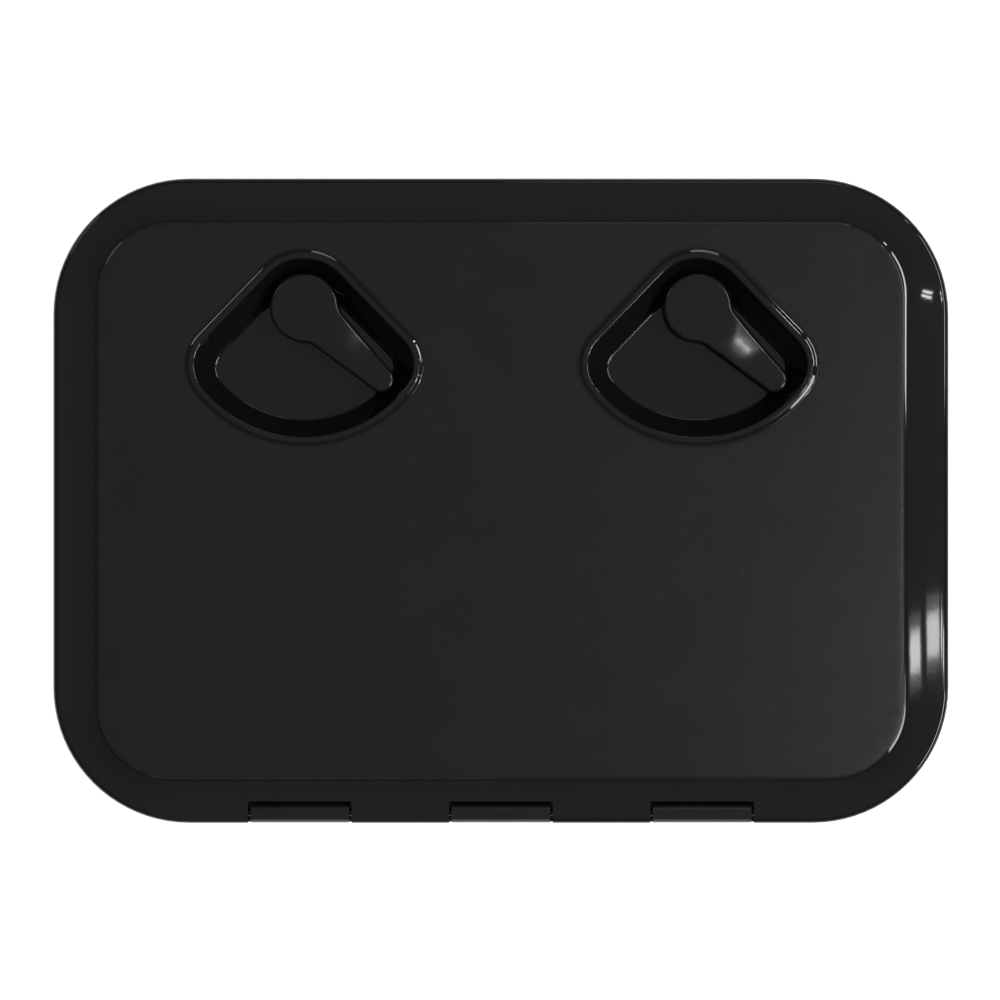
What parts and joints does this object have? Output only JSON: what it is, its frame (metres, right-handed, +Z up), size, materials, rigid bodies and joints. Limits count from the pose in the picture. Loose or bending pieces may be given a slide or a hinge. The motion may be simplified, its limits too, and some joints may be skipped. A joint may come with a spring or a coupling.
{
  "type": "deck hatch",
  "caption": "Low rectangular deck access hatch: framed opening with a hinged moulded lid, two flush lever latches with cams and a seal.",
  "frame": {"origin": "centre of the opening on the deck plane, which is the underside of the frame's flange and the centre of its screw pattern", "axes": "+Z up out of the deck, +X along the hatch's long side, +Y from the hinge side to the latch side"},
  "size_m": [0.375, 0.27, 0.0478],
  "materials": {
    "frame_plastic": "satin black moulded plastic",
    "lid_plastic": "black moulded plastic, glossy border and finely grained panel",
    "handle_plastic": "smooth black moulded plastic",
    "bush_plastic": "natural low-friction plastic",
    "cam_plastic": "black glass-filled plastic",
    "seal_rubber": "soft black rubber",
    "blackened_steel": "drawn stainless steel, blackened",
    "stainless": "brushed stainless steel"
  },
  "bodies": {
    "frame": {"frame": "frame_plastic"},
    "lid": {"lid": "lid_plastic", "lid_seal": "seal_rubber", "hinge_pin_left": "blackened_steel", "hinge_pin_middle": "blackened_steel", "hinge_pin_right": "blackened_steel", "spindle_bush_left": "bush_plastic", "spindle_bush_right": "bush_plastic"},
    "latch_left": {"latch_handle_left": "handle_plastic", "spindle_seal_left": "seal_rubber", "thrust_washer_left": "bush_plastic", "latch_cam_left": "cam_plastic", "cam_washer_left": "stainless", "cam_screw_left": "stainless"},
    "latch_right": {"latch_handle_right": "handle_plastic", "spindle_seal_right": "seal_rubber", "thrust_washer_right": "bush_plastic", "latch_cam_right": "cam_plastic", "cam_washer_right": "stainless", "cam_screw_right": "stainless"}
  },
  "joints": [
    {"name": "lid_hinge", "type": "hinge", "parent": "frame", "child": "lid", "pos_m": [0, -0.1306, 0.0092], "axis": [1, 0, 0], "range_deg": [0, 180]},
    {"name": "latch_turn_left", "type": "hinge", "parent": "lid", "child": "latch_left", "pos_m": [-0.0823, 0.0808, 0], "axis": [0, 0, 1], "range_deg": [-90, 0]},
    {"name": "latch_turn_right", "type": "hinge", "parent": "lid", "child": "latch_right", "pos_m": [0.0823, 0.0808, 0], "axis": [0, 0, 1], "range_deg": [-90, 0]}
  ]
}
